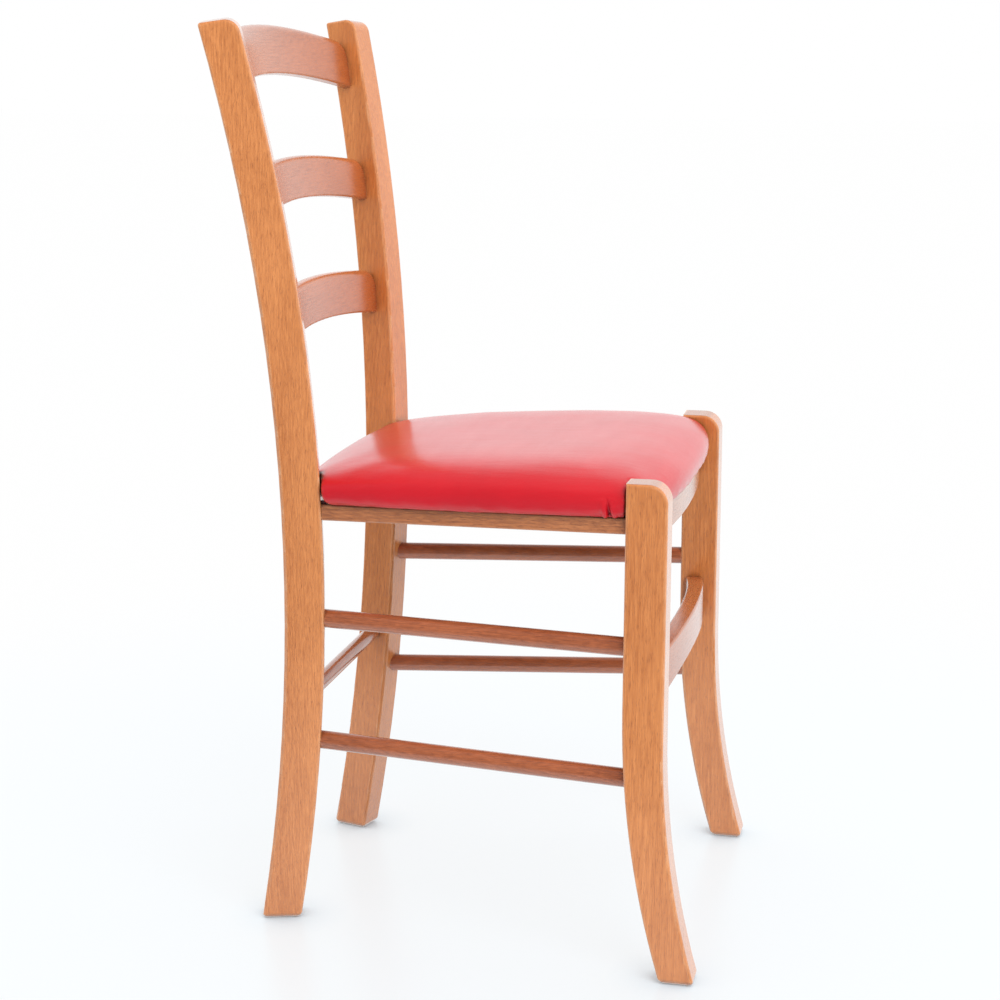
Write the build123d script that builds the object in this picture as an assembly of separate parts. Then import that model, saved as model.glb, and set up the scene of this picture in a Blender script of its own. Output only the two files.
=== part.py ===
from build123d import *
from math import sin, cos, asin, atan, sqrt, radians, pi
import os

os.makedirs("parts", exist_ok=True)

# Millimetres. +X is the sitter's left, -Y the front, +Z up.
# The origin lies on the floor, under the middle of the chair.

# rear posts: planks sawn to one sweep, turned and leant outward
total_height = 882.0
rear_line = 201.8
rear_half_width = 148.9
post_width = 38.2
post_top_width = 35.2
post_thickness = 29.0
post_sweep_radius = 2100.0
post_sweep_height = 352.0
post_turn = radians(16.3)
post_lean = radians(3.85)
post_top_round = 14.0
post_top_fall = 5.0

# front legs: straight above, swept forward at the foot
leg_height = 474.0
leg_setback = 390.0
front_half_width = 207.8
leg_thickness = 31.0
leg_depth = 38.6
leg_lean = radians(1.27)
toe_reach = 33.9
toe_sweep_height = 235.0
heel_reach = 39.2
heel_sweep_height = 260.0
leg_top_round = 18.0
edge_round = 2.5
foot_round = 6.0

# back slats, bent to one radius: drop of their ends below the chair's top, board height, arch
slat_bend_radius = 680.0
slat_thickness = 11.0
slat_setback = 16.2
slat_corner = 20.0
slat_edge_round = 2.5
slat_nose_round = 7.0
top_slat_drop = 45.8
top_slat_height = 49.5
top_slat_arch = 22.5
middle_slat_drop = 166.0
middle_slat_height = 42.5
middle_slat_arch = 15.0
bottom_slat_drop = 284.0
bottom_slat_height = 45.0
bottom_slat_arch = 10.0

# seat frame; its plane rises towards the front, and the front legs stand above it
seat_setback = 230.0
leg_rise = 37.6
seat_middle_y = rear_line - seat_setback
seat_rail_top = leg_height - leg_rise
seat_slope = radians(1.8)
rail_height = 16.0
side_rail_width = 20.0
side_rail_offset = 2.2
rear_rail_thickness = 16.0
rear_rail_setback = 26.0
front_rail_height = 28.0
front_rail_thickness = 16.0
front_rail_bow = 11.5
front_rail_face = 20.0
rail_edge_round = 2.0
planing_spare = 2.0

# stretchers
side_stretcher_diameter = 18.0
upper_stretcher_drop = 121.4
lower_stretcher_level = 189.0
stretcher_rise = 2.5
stretcher_out_at_post = 4.2
stretcher_in_at_leg = 6.0
rear_stretcher_diameter = 16.0
rear_stretcher_level = 227.0
front_stretcher_drop = 162.4
front_stretcher_height = 46.0
front_stretcher_thickness = 17.0
front_stretcher_bow = 16.0
front_stretcher_arch_top = 11.0
front_stretcher_arch_bottom = 20.0
front_stretcher_face = 15.5

# joints
tenon_depth = 14.0
tenon_shoulder = 3.0
tenon_clearance = 0.1
mortise_spare = 1.0
tenon_root = 9.0
shoulder_overrun = 7.0
foot_spare = 6.0
foot_touch = 0.1
cutter = 400.0

# upholstered seat, measured from the seat middle on the rail tops
seat_back = 186.0
seat_front = 179.0
seat_rear_half = 162.0
seat_front_half = 196.0
seat_side_bow = 7.0
seat_front_bow = 15.0
seat_rear_bow = 4.0
seat_corner_round = 14.0
bow_fade = 220.0
seat_crown = 51.5
seat_fall = 0.09
pad_tuck = 6.0
pad_full_share = 0.22
pad_crown_reach = 150.0
pad_crown_power = 2.0
seat_notch_gap = 3.0
board_thickness = 10.0
board_inset = 8.0
cover_thickness = 1.2
cover_return = 48.0
dust_cover_thickness = 0.8
dust_cover_inset = 40.0

# fasteners
screw_shank = 4.0
screw_head = 8.0
screw_bite = 8.0
screw_spacing = 180.0
screw_slot = 0.9
screw_slot_depth = 1.2
screw_point = 0.4
staple_width = 9.0
staple_wire = 1.0
staple_flat = 0.5
staple_leg = 6.0
staple_inset = 44.0
staple_margin = 8.0

floor_cut = Pos(0, 0, -cutter / 2) * Box(3 * cutter, 3 * cutter, cutter)
above_floor = Pos(0, 0, cutter / 2) * Box(3 * cutter, 3 * cutter, cutter)


def mirrored(shape):
    return mirror(shape, about=Plane.YZ)


def keep(shape, name, solids=1):
    found = shape.solids()
    assert len(found) == solids, (name, len(found))
    assert all(s.is_valid for s in found), name
    body = found[0] if solids == 1 else Compound(children=list(found))
    body.label = name
    export_step(body, "parts/" + name + ".step")
    box = body.bounding_box()
    print(name, [round(v, 1) for v in (box.size.X, box.size.Y, box.size.Z)])


# Rear post of the sitter's right. Its plane runs along u (rearward) and up.

post_u = Vector(-sin(post_turn), cos(post_turn), 0)
post_in = Vector(cos(post_turn) * cos(post_lean), sin(post_turn) * cos(post_lean), sin(post_lean))
post_plane = Plane(origin=(-rear_half_width, rear_line, 0), x_dir=post_u, z_dir=post_in)
post_front_radius = post_sweep_radius + post_width / 2
post_rear_radius = post_sweep_radius - post_width / 2
post_centre_u = sqrt(post_rear_radius ** 2 - post_sweep_height ** 2)
post_length = (total_height - post_thickness * sin(post_lean)) / cos(post_lean)


def sweep_point(radius, angle):
    return (post_centre_u - radius * cos(angle), post_sweep_height + radius * sin(angle))


def post_front_u(along):
    return post_centre_u - sqrt(post_front_radius ** 2 - (along - post_sweep_height) ** 2)


# Point a given way behind the front edge and in from the outer face, at a height above the floor.
def on_post(back, across, height):
    along = (height - across * sin(post_lean)) / cos(post_lean)
    return post_plane.from_local_coords((post_front_u(along) + back, along, across))


# Plank outline; its top falls a little to the rear and is rounded at the front.
def post_outline(top_along):
    below = -foot_spare
    foot_front = asin((below - post_sweep_height) / post_front_radius)
    foot_rear = asin((below - post_sweep_height) / post_rear_radius)
    top_front = asin((top_along - post_sweep_height) / post_front_radius)
    top_radius = post_front_radius - post_top_width
    top_rear = asin((top_along - post_top_fall - post_sweep_height) / top_radius)
    front = [sweep_point(post_front_radius, a) for a in (foot_front, (foot_front + top_front) / 2, top_front)]
    middle = (foot_rear + top_rear) / 2
    rear = [sweep_point(top_radius, top_rear)]
    rear += [sweep_point(post_rear_radius, a) for a in (middle, foot_rear)]
    lines = ThreePointArc(*front) + Line(front[2], rear[0]) + ThreePointArc(*rear) + Line(rear[2], front[0])
    face = make_face(lines)
    front_corner = face.vertices().sort_by_distance(Vector(*front[2], 0))[0]
    face = fillet(front_corner, post_top_round)
    rear_corner = face.vertices().sort_by_distance(Vector(*rear[0], 0))[0]
    return fillet(rear_corner, edge_round)


def post_blank():
    short_of = post_length - post_outline(post_length).bounding_box().max.Y
    plank = extrude(post_outline(post_length + short_of), post_thickness)
    sides = plank.faces().filter_by(Axis.Z).edges()
    plank = fillet([e for e in sides if e.center().Y > 1], edge_round)
    return ease_foot(post_plane * plank, post_u)


# Rounds the sole's rim: level outlines of the foot, drawn in towards the floor.
def ease_foot(leg, along):
    leg = leg - floor_cut
    flat = Plane(origin=(0, 0, 0), x_dir=along, z_dir=(0, 0, 1))
    outlines = []
    for share in (0, 0.22, 0.44, 0.66, 0.85, 1):
        turn = share * pi / 2
        up = foot_round * (1 - sin(turn))
        inset = foot_round * (1 - cos(turn)) - foot_touch * (1 - share)
        level = section(leg, section_by=Plane.XY.offset(up + foot_touch / 2))
        box = flat.to_local_coords(level).bounding_box()
        sole = RectangleRounded(box.size.X - 2 * inset, box.size.Y - 2 * inset, edge_round)
        outlines.append(flat * Pos(box.center().X, box.center().Y, up) * sole)
    spare = Pos(*outlines[0].center()) * Box(cutter / 2, cutter / 2, 2 * foot_round)
    spare = spare - Pos(0, 0, foot_round) * above_floor
    return leg - (spare - loft(outlines, ruled=True))


# Front leg of the sitter's right, in its own upright plane.

leg_y = rear_line - leg_setback
leg_plane = Plane(origin=(-front_half_width, leg_y, 0), x_dir=(0, 1, 0), z_dir=(cos(leg_lean), 0, -sin(leg_lean)))
leg_length = leg_height / cos(leg_lean)


def on_leg(back, across, height):
    along = (height + across * sin(leg_lean)) / cos(leg_lean)
    return leg_plane.from_local_coords((back, along, across))


def foot_arc(edge, reach, start, below):
    radius = (start ** 2 + reach ** 2) / (2 * reach)
    points = [(edge - radius + sqrt(radius ** 2 - (start - z) ** 2), z) for z in (start, start / 2, below)]
    return points


def leg_blank():
    half = leg_depth / 2
    below = -foot_spare
    toe = foot_arc(-half, toe_reach, toe_sweep_height, below)
    heel = foot_arc(half, heel_reach, heel_sweep_height, below)
    lines = Line((-half, leg_length), toe[0]) + ThreePointArc(*toe) + Line(toe[2], heel[2])
    lines += ThreePointArc(*heel) + Line(heel[0], (half, leg_length)) + Line((half, leg_length), (-half, leg_length))
    face = make_face(lines)
    corner = face.vertices().sort_by_distance(Vector(-half, leg_length, 0))[0]
    face = fillet(corner, leg_top_round)
    plank = extrude(face, leg_thickness)
    sides = plank.faces().filter_by(Axis.Z).edges()
    plank = fillet([e for e in sides if e.center().Y > 1], edge_round)
    return ease_foot(leg_plane * plank, Vector(0, 1, 0))


post_right = post_blank()
post_left = mirrored(post_right)
leg_right = leg_blank()
leg_left = mirrored(leg_right)
posts = [post_right, post_left]
legs = [leg_right, leg_left]
post_mortises = []
leg_mortises = []


# Bowed boards: three slats, the front rail and the front stretcher.

# Bent strip whose front face passes z = 0 at x = half; hollow to the front when sets_back is true.
def bowed_band(half, radius, thickness, sets_back, height):
    middle = sqrt(radius ** 2 - half ** 2)
    outer = radius + thickness if sets_back else radius
    inner = outer - thickness
    ring = Cylinder(outer, height) - Cylinder(inner, height)
    return Pos(0, 0, middle if sets_back else -middle) * Rot(90, 0, 0) * ring


def arched_outline(half, over, low, high, low_arch, high_arch, corner):
    def edge(level, arch):
        end = level - arch * ((half + over) ** 2 - half ** 2) / half ** 2
        return [(-half - over, end), (0, level + arch), (half + over, end)]

    def drawn(points, arch):
        return ThreePointArc(*points) if arch else Line(points[0], points[2])

    low_line = edge(low, low_arch)
    high_line = edge(high, high_arch)
    lines = drawn(low_line, low_arch) + Line(low_line[2], high_line[2])
    lines += drawn(high_line, high_arch) + Line(high_line[0], low_line[0])
    face = make_face(lines)
    if corner:
        face = fillet(face.vertices().sort_by(Axis.Y)[-2:], corner)
    return face


def straight_outline(half, low, high):
    return Pos(0, (low + high) / 2) * Rectangle(2 * half, high - low)


def bowed_board(plane, half, radius, thickness, sets_back, outline):
    band = bowed_band(half, radius, thickness, sets_back, cutter)
    prism = extrude(outline, cutter / 2, both=True)
    return plane * (band & prism)


# Rounds the four long edges of a bowed board in its own frame.
def ease_board(board, size):
    long_edges = board.edges().sort_by(Edge.length)[-4:]
    return fillet(long_edges, size)


# Rounds a slat's long edges, the upper front one to a full nose.
def ease_slat(board):
    long_edges = board.edges().sort_by(Edge.length)[-4:]
    nose = long_edges.sort_by(Axis.Z)[-2:].sort_by(Axis.Y)[0]
    others = [e.position_at(0.5) for e in long_edges if e != nose]
    board = fillet(nose, slat_nose_round)
    rest = [board.edges().sort_by(lambda e: e.distance_to(middle))[0] for middle in others]
    return fillet(rest, slat_edge_round)


def slat(level, height, arch):
    end = on_post(slat_setback, post_thickness, level)
    high = on_post(slat_setback, post_thickness, level + 20)
    low = on_post(slat_setback, post_thickness, level - 20)
    tilt = atan((high.Y - low.Y) / (high.Z - low.Z))
    half = abs(end.X)
    plane = Plane(origin=(0, end.Y, end.Z), x_dir=(1, 0, 0), z_dir=(0, -cos(tilt), sin(tilt)))
    outline = arched_outline(half, shoulder_overrun, -height / 2, height / 2, arch, arch, slat_corner)
    board = bowed_board(plane, half, slat_bend_radius, slat_thickness, True, outline)
    board = ease_slat(board)

    def tenon(grow, spare):
        thick = slat_thickness - tenon_shoulder + 2 * grow
        low_edge = -height / 2 + 2 * tenon_shoulder - grow
        high_edge = height / 2 - slat_corner / 2 - 2 * tenon_shoulder + grow
        shape = straight_outline(half + tenon_depth + spare, low_edge, high_edge)
        back = (slat_thickness - thick) / 2
        band = Pos(0, 0, -back) * bowed_band(half, slat_bend_radius, thick, True, cutter)
        return plane * (band & extrude(shape, cutter / 2, both=True))

    middle = plane * Box(2 * (half - tenon_root), cutter, cutter)
    for post in posts:
        board = board - post
    piece = board + (tenon(0, 0) - middle)
    post_mortises.append(tenon(tenon_clearance, mortise_spare) - middle)
    return piece


top_slat = slat(total_height - top_slat_drop, top_slat_height, top_slat_arch)
middle_slat = slat(total_height - middle_slat_drop, middle_slat_height, middle_slat_arch)
bottom_slat = slat(total_height - bottom_slat_drop, bottom_slat_height, bottom_slat_arch)


# Board between the front legs, bowed forward; face_back is its set-back from the leg's front at the ends.
def front_board(level, height, thickness, bow, face_back, arch_low, arch_high, tenon_low, tenon_high):
    end = on_leg(-leg_depth / 2 + face_back, leg_thickness, level)
    half = abs(end.X)
    radius = (half ** 2 + bow ** 2) / (2 * bow)
    plane = Plane(origin=(0, end.Y, level), x_dir=(1, 0, 0), z_dir=(0, -1, 0))
    outline = arched_outline(half, shoulder_overrun, -height / 2, height / 2, arch_low, arch_high, 0)
    board = bowed_board(plane, half, radius, thickness, False, outline)
    board = ease_board(board, rail_edge_round)

    def tenon(grow, spare):
        thick = thickness - 2 * tenon_shoulder + 2 * grow
        shape = straight_outline(half + tenon_depth + spare, tenon_low - grow, tenon_high + grow)
        block = Pos(0, 0, -thickness / 2) * Box(2 * (half + tenon_depth + spare), cutter, thick)
        return plane * (block & extrude(shape, cutter / 2, both=True))

    middle = plane * Box(2 * (half - tenon_root), cutter, cutter)
    for leg in legs:
        board = board - leg
    piece = board + (tenon(0, 0) - middle)
    leg_mortises.append(tenon(tenon_clearance, mortise_spare) - middle)
    return piece


front_stretcher = front_board(
    seat_rail_top - front_stretcher_drop, front_stretcher_height, front_stretcher_thickness, front_stretcher_bow,
    front_stretcher_face, front_stretcher_arch_bottom, front_stretcher_arch_top,
    -front_stretcher_height / 2 + 2 * tenon_shoulder, front_stretcher_height / 2 - 2 * tenon_shoulder)


# Seat plane: rail tops, rising towards the front.

seat_normal = Vector(0, sin(seat_slope), cos(seat_slope))
seat_plane = Plane(origin=(0, seat_middle_y, seat_rail_top), x_dir=(1, 0, 0), z_dir=seat_normal)


def on_seat(x, back, up):
    return seat_plane.from_local_coords((x, back, up))


def seat_back_of(y, up):
    return (y - seat_middle_y - up * sin(seat_slope)) / cos(seat_slope)


above_seat = seat_plane * Pos(0, 0, cutter / 2) * Box(3 * cutter, 3 * cutter, cutter)

# Front rail, its top planed to the seat slope; its tenons lie below those of the side rails.
front_rail_back = seat_back_of(leg_y, 0)
front_rail_top = on_seat(0, front_rail_back, 0).Z
front_rail_mid = front_rail_top - front_rail_height / 2
front_rail = front_board(
    front_rail_mid, front_rail_height + 2 * planing_spare, front_rail_thickness, front_rail_bow, front_rail_face, 0, 0,
    -front_rail_height / 2 + tenon_shoulder, -tenon_shoulder)
front_rail = front_rail - above_seat


def straight_bar(start, end, side_dir, section, reach):
    along = (end - start).normalized()
    plane = Plane(origin=start - along * reach, x_dir=side_dir, z_dir=along)
    return extrude(plane * section, (end - start).length + 2 * reach, dir=along)


# What is left of a bar when the middle between the shoulders is taken out.
def end_pieces(bar, start, end):
    along = (end - start).normalized()
    middle = Plane(origin=(start + end) * 0.5, z_dir=along) * Box(cutter, cutter, (end - start).length - 2 * tenon_root)
    return bar - middle


# Side rails, seated in the front face of the post and the rear face of the leg.

def side_rail():
    up = -rail_height / 2
    post_line = on_post(0, post_thickness / 2, seat_rail_top).Y
    level = on_seat(0, seat_back_of(post_line, up), up).Z
    at_post = on_post(0, post_thickness / 2 - side_rail_offset, level)
    leg_level = on_seat(0, seat_back_of(leg_y + leg_depth / 2, up), up).Z
    at_leg = on_leg(leg_depth / 2, leg_thickness - side_rail_width / 2, leg_level)
    start = on_seat(at_post.X, seat_back_of(at_post.Y, up), up)
    end = on_seat(at_leg.X, seat_back_of(at_leg.Y, up), up)
    side = seat_normal.cross(end - start)
    body = straight_bar(start, end, side, RectangleRounded(side_rail_width, rail_height, rail_edge_round), shoulder_overrun)
    body = body - post_right - leg_right

    def tenon(grow, spare):
        section = Rectangle(side_rail_width / 2 + 2 * grow, rail_height - 2 * tenon_shoulder + 2 * grow)
        bar = straight_bar(start, end, side, section, tenon_depth + spare)
        return end_pieces(bar, start, end)

    cut = tenon(tenon_clearance, mortise_spare)
    post_mortises.append(cut)
    leg_mortises.append(cut)
    return body + tenon(0, 0), start, end


rail_right, rail_start, rail_end = side_rail()


# Bar along X from post to post, with its axis through the point on the right post's inner face.
def cross_bar(level_point, section, tenon_section, grown_section, side):
    start = level_point
    end = Vector(-start.X, start.Y, start.Z)
    body = straight_bar(start, end, side, section, shoulder_overrun)
    for post in posts:
        body = body - post
    tenons = end_pieces(straight_bar(start, end, side, tenon_section, tenon_depth), start, end)
    cut = end_pieces(straight_bar(start, end, side, grown_section, tenon_depth + mortise_spare), start, end)
    post_mortises.append(cut)
    return body + tenons


rear_rail_at = on_post(rear_rail_setback, post_thickness, on_seat(0, seat_back, -rail_height / 2).Z)
rear_rail_at = on_seat(rear_rail_at.X, seat_back_of(rear_rail_at.Y, -rail_height / 2), -rail_height / 2)
rear_tenon_wide = rear_rail_thickness - 2 * tenon_shoulder
rear_tenon_high = rail_height - 2 * tenon_shoulder
rear_rail = cross_bar(
    rear_rail_at,
    RectangleRounded(rear_rail_thickness, rail_height, rail_edge_round),
    Rectangle(rear_tenon_wide, rear_tenon_high),
    Rectangle(rear_tenon_wide + 2 * tenon_clearance, rear_tenon_high + 2 * tenon_clearance),
    Vector(0, cos(seat_slope), -sin(seat_slope)))

rear_stretcher_at = on_post(post_width / 2, post_thickness, rear_stretcher_level)
rear_tenon_radius = rear_stretcher_diameter / 2 - tenon_shoulder
rear_stretcher = cross_bar(
    rear_stretcher_at,
    Circle(rear_stretcher_diameter / 2),
    Circle(rear_tenon_radius),
    Circle(rear_tenon_radius + tenon_clearance),
    Vector(0, 1, 0))


def side_stretcher(level):
    start = on_post(0, post_thickness / 2 - stretcher_out_at_post, level)
    leg_level = level + stretcher_rise
    back_at_leg = leg_depth / 2
    if leg_level < heel_sweep_height:
        arc = foot_arc(leg_depth / 2, heel_reach, heel_sweep_height, leg_level)
        back_at_leg = arc[2][0]
    end = on_leg(back_at_leg, leg_thickness / 2 + stretcher_in_at_leg, leg_level)
    side = Vector(1, 0, 0)
    radius = side_stretcher_diameter / 2
    body = straight_bar(start, end, side, Circle(radius), shoulder_overrun) - post_right - leg_right

    def tenon(grow, spare):
        bar = straight_bar(start, end, side, Circle(radius - tenon_shoulder + grow), tenon_depth + spare)
        return end_pieces(bar, start, end)

    cut = tenon(tenon_clearance, mortise_spare)
    post_mortises.append(cut)
    leg_mortises.append(cut)
    return body + tenon(0, 0)


upper_right = side_stretcher(seat_rail_top - upper_stretcher_drop)
lower_right = side_stretcher(lower_stretcher_level)

for cut in post_mortises:
    post_right = post_right - cut
for cut in leg_mortises:
    leg_right = leg_right - cut


# Seat pad: plan outlines stacked over the rail tops, lofted to a crown.

def pad_outline(inset):
    share = 1 - inset / bow_fade
    rear = seat_rear_half - inset
    front = seat_front_half - inset
    back = seat_back - inset
    ahead = -seat_front + inset
    corner = ahead + seat_front_bow * share
    mid_half = (rear + front) / 2 + seat_side_bow * share
    mid_back = (back + corner) / 2
    left = ThreePointArc((rear, back), (mid_half, mid_back), (front, corner))
    edge = ThreePointArc((front, corner), (0, ahead), (-front, corner))
    right = ThreePointArc((-front, corner), (-mid_half, mid_back), (-rear, back))
    rear_edge = ThreePointArc((-rear, back), (0, back + seat_rear_bow * share), (rear, back))
    face = make_face(left + edge + right + rear_edge)
    return fillet(face.vertices(), seat_corner_round + inset * 0.12)


# Side profile of the pad: drawn in under the edge, fullest a quarter up, then a crown.

def pad_levels():
    levels = []
    for share in (0.0, 0.25, 0.5, 1.0):
        levels.append((pad_tuck * (1 - share) ** 3, pad_full_share * share))
    steps = 9
    for i in range(1, steps + 1):
        reach = 0.8 * (i / steps) ** 1.8
        rise = (1 - (1 - reach) ** pad_crown_power) ** (1 / pad_crown_power)
        levels.append((pad_crown_reach * reach, pad_full_share + (1 - pad_full_share) * rise))
    return levels


# The crowned pad, drawn in by the thickness of its cover.
def pad_form(skin):
    sections = []
    for inset, share in pad_levels():
        up = skin + share * (seat_crown - 2 * skin)
        tilt = atan(share * seat_crown * seat_fall / (seat_back + seat_front))
        turned = Plane(origin=(0, -seat_front, up), x_dir=(1, 0, 0), z_dir=(0, sin(tilt), cos(tilt)))
        sections.append(turned * Pos(0, seat_front, 0) * pad_outline(inset + skin))
    return loft(sections, ruled=True)


post_corner = on_post(0, post_thickness, seat_rail_top + board_thickness)
post_front = on_post(0, 0, seat_rail_top - board_thickness)
leg_corner = on_leg(leg_depth / 2, leg_thickness, leg_height)


# Clearance round the posts and the front legs, in the seat's own frame.
def notches(gap):
    x_post = abs(post_corner.X) - gap
    y_post = seat_back_of(post_front.Y, 0) - gap
    x_leg = abs(leg_corner.X) - gap
    y_leg = seat_back_of(leg_corner.Y, 0) + gap
    cut = None
    for sign in (1, -1):
        rear = Pos(sign * (x_post + cutter / 2), y_post + cutter / 2, 0) * Box(cutter, cutter, cutter)
        front = Pos(sign * (x_leg + cutter / 2), y_leg - cutter / 2, 0) * Box(cutter, cutter, cutter)
        cut = rear + front if cut is None else cut + rear + front
    return cut


outer_notch = notches(seat_notch_gap)
inner_notch = notches(seat_notch_gap + cover_thickness)
board_notch = notches(seat_notch_gap + board_inset / 2)
pad_inside = pad_form(cover_thickness) - inner_notch
board = extrude(pad_outline(board_inset), board_thickness)
board = Pos(0, 0, cover_thickness) * board - board_notch
foam = pad_inside - board
cover = pad_form(0) - outer_notch - pad_inside
cover = cover - extrude(pad_outline(cover_return), 2 * cover_thickness, both=True)
dust = extrude(pad_outline(dust_cover_inset), dust_cover_thickness)
dust_top = -staple_flat
dust = Pos(0, 0, dust_top - dust_cover_thickness) * dust


# Staples lie along the edge of the dust cover, under it and on it.

def staple_places(counts, shift):
    rear = seat_rear_half - staple_inset
    front = seat_front_half - staple_inset
    back = seat_back - staple_inset
    ahead = -seat_front + seat_front_bow + staple_inset
    places = []
    for i in range(counts):
        share = (i + 0.5 + shift) / counts
        y = back - staple_margin - share * (back - ahead - 2 * staple_margin)
        half = front + (rear - front) * (y - ahead) / (back - ahead)
        places += [(half, y, 90), (-half, y, 90)]
        x = (2 * share - 1) * (rear - 1.5 * staple_margin)
        places.append((x, back, 0))
        bulge = seat_front_bow * (1 - staple_inset / bow_fade) * (1 - (x / front) ** 2)
        places.append((x, ahead - bulge, 0))
    return places


def staple(up):
    crown = Pos(0, 0, up + staple_flat / 2) * Box(staple_width, staple_wire, staple_flat)
    leg = Box(staple_flat, staple_wire, staple_leg + staple_flat)
    reach = Pos(staple_width / 2 - staple_flat / 2, 0, up + (staple_leg + staple_flat) / 2)
    other = Pos(-staple_width / 2 + staple_flat / 2, 0, up + (staple_leg + staple_flat) / 2)
    return crown + reach * leg + other * leg


def staple_group(up, shift):
    one = staple(up)
    return [Pos(x, y, 0) * Rot(0, 0, turn) * one for x, y, turn in staple_places(5, shift)]


cover_staples = staple_group(-staple_flat, -0.2)
dust_staples = staple_group(dust_top - dust_cover_thickness - staple_flat, 0.2)
all_staples = Compound(children=[s.solids()[0] for s in cover_staples + dust_staples])
board = board - all_staples
cover = cover - all_staples
dust = dust - all_staples


# Seat screws, two up through each side rail into the board.

screw_length = rail_height + cover_thickness + screw_bite


def screw_form():
    head_height = (screw_head - screw_shank) / 2
    tip_height = screw_shank / 2
    shank_length = screw_length - head_height - tip_height
    head = Pos(0, 0, head_height / 2) * Cone(screw_head / 2, screw_shank / 2, head_height)
    shank = Pos(0, 0, head_height + shank_length / 2) * Cylinder(screw_shank / 2, shank_length)
    tip = Pos(0, 0, screw_length - tip_height / 2) * Cone(screw_shank / 2, screw_point, tip_height)
    return head + shank + tip


def seat_screw():
    slot = Box(screw_head * 0.55, screw_slot, 2 * screw_slot_depth)
    return screw_form() - slot - Rot(0, 0, 90) * slot


rail_from = seat_plane.to_local_coords(rail_start)
rail_to = seat_plane.to_local_coords(rail_end)
screw_spots = []
for back in (screw_spacing / 2, -screw_spacing / 2):
    share = (rail_from.Y - back) / (rail_from.Y - rail_to.Y)
    x = rail_from.X + share * (rail_to.X - rail_from.X)
    screw_spots += [(x, back), (-x, back)]

screws = [Pos(x, y, -rail_height) * seat_screw() for x, y in screw_spots]
holes = [Pos(x, y, -rail_height) * screw_form() for x, y in screw_spots]
for hole in holes:
    board = board - hole
    cover = cover - hole
    foam = foam - hole
    rail_right = rail_right - seat_plane * hole


keep(post_right, "rear_post_right")
keep(mirrored(post_right), "rear_post_left")
keep(leg_right, "front_leg_right")
keep(mirrored(leg_right), "front_leg_left")
keep(top_slat, "top_slat")
keep(middle_slat, "middle_slat")
keep(bottom_slat, "bottom_slat")
keep(rail_right, "side_rail_right")
keep(mirrored(rail_right), "side_rail_left")
keep(front_rail, "front_rail")
keep(rear_rail, "rear_rail")
keep(upper_right, "upper_side_stretcher_right")
keep(mirrored(upper_right), "upper_side_stretcher_left")
keep(lower_right, "lower_side_stretcher_right")
keep(mirrored(lower_right), "lower_side_stretcher_left")
keep(rear_stretcher, "rear_stretcher")
keep(front_stretcher, "front_stretcher")
keep(seat_plane * board, "seat_board")
keep(seat_plane * foam, "seat_foam")
keep(seat_plane * cover, "seat_cover")
keep(seat_plane * dust, "dust_cover")
keep(seat_plane * Compound(children=[s.solids()[0] for s in cover_staples]), "cover_staples", len(cover_staples))
keep(seat_plane * Compound(children=[s.solids()[0] for s in dust_staples]), "dust_cover_staples", len(dust_staples))
keep(seat_plane * Compound(children=[s.solids()[0] for s in screws]), "seat_screws", len(screws))
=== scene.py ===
import bpy
import bmesh
import numpy as np
from math import sin, cos, pi, radians, sqrt, exp
from mathutils import Vector, Matrix, noise


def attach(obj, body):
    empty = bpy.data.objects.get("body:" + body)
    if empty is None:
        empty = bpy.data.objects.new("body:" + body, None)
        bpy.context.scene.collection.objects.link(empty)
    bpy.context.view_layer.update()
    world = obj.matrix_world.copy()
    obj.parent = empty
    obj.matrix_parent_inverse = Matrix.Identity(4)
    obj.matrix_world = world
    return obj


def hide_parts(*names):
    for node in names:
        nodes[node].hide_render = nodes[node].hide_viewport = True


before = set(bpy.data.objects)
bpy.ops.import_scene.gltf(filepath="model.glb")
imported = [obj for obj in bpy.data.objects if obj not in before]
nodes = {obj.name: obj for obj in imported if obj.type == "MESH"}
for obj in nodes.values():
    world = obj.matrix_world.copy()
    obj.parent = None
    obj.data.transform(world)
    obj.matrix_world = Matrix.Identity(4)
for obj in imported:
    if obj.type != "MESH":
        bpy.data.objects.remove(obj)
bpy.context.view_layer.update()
scene = bpy.context.scene
scene.view_settings.view_transform = "Standard"
print("frame loaded,", len(nodes), "parts of the chair")


# node helpers

def put(tree, kind, at, setup=None, **sockets):
    node = tree.nodes.new("ShaderNode" + kind)
    node.location = at
    for key, value in (setup or {}).items():
        setattr(node, key, value)
    for key, value in sockets.items():
        feed(tree, value, node.inputs[key.replace("_", " ")])
    return node


def feed(tree, value, target):
    if isinstance(value, bpy.types.NodeSocket):
        tree.links.new(value, target)
    else:
        target.default_value = value


def mixColour(tree, at, factor, first, second, blend="MIX"):
    node = put(tree, "Mix", at, {"data_type": "RGBA", "blend_type": blend, "clamp_factor": True})
    feed(tree, factor, node.inputs[0])
    feed(tree, first, node.inputs[6])
    feed(tree, second, node.inputs[7])
    return node.outputs[2]


def mixShaders(tree, at, factor, first, second):
    node = put(tree, "MixShader", at)
    for value, target in zip((factor, first, second), node.inputs):
        feed(tree, value, target)
    return node.outputs[0]


def sums(tree, at, operation, first, second=0.0, third=0.0, clamp=False):
    node = put(tree, "Math", at, {"operation": operation, "use_clamp": clamp})
    for value, target in zip((first, second, third), node.inputs):
        feed(tree, value, target)
    return node.outputs[0]


def spread(tree, at, value, low, high, toLow=0.0, toHigh=1.0, smooth=False):
    kind = "SMOOTHSTEP" if smooth else "LINEAR"
    node = put(tree, "MapRange", at, {"interpolation_type": kind})
    for target, given in zip(node.inputs, (value, low, high, toLow, toHigh)):
        feed(tree, given, target)
    return node.outputs[0]


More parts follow.
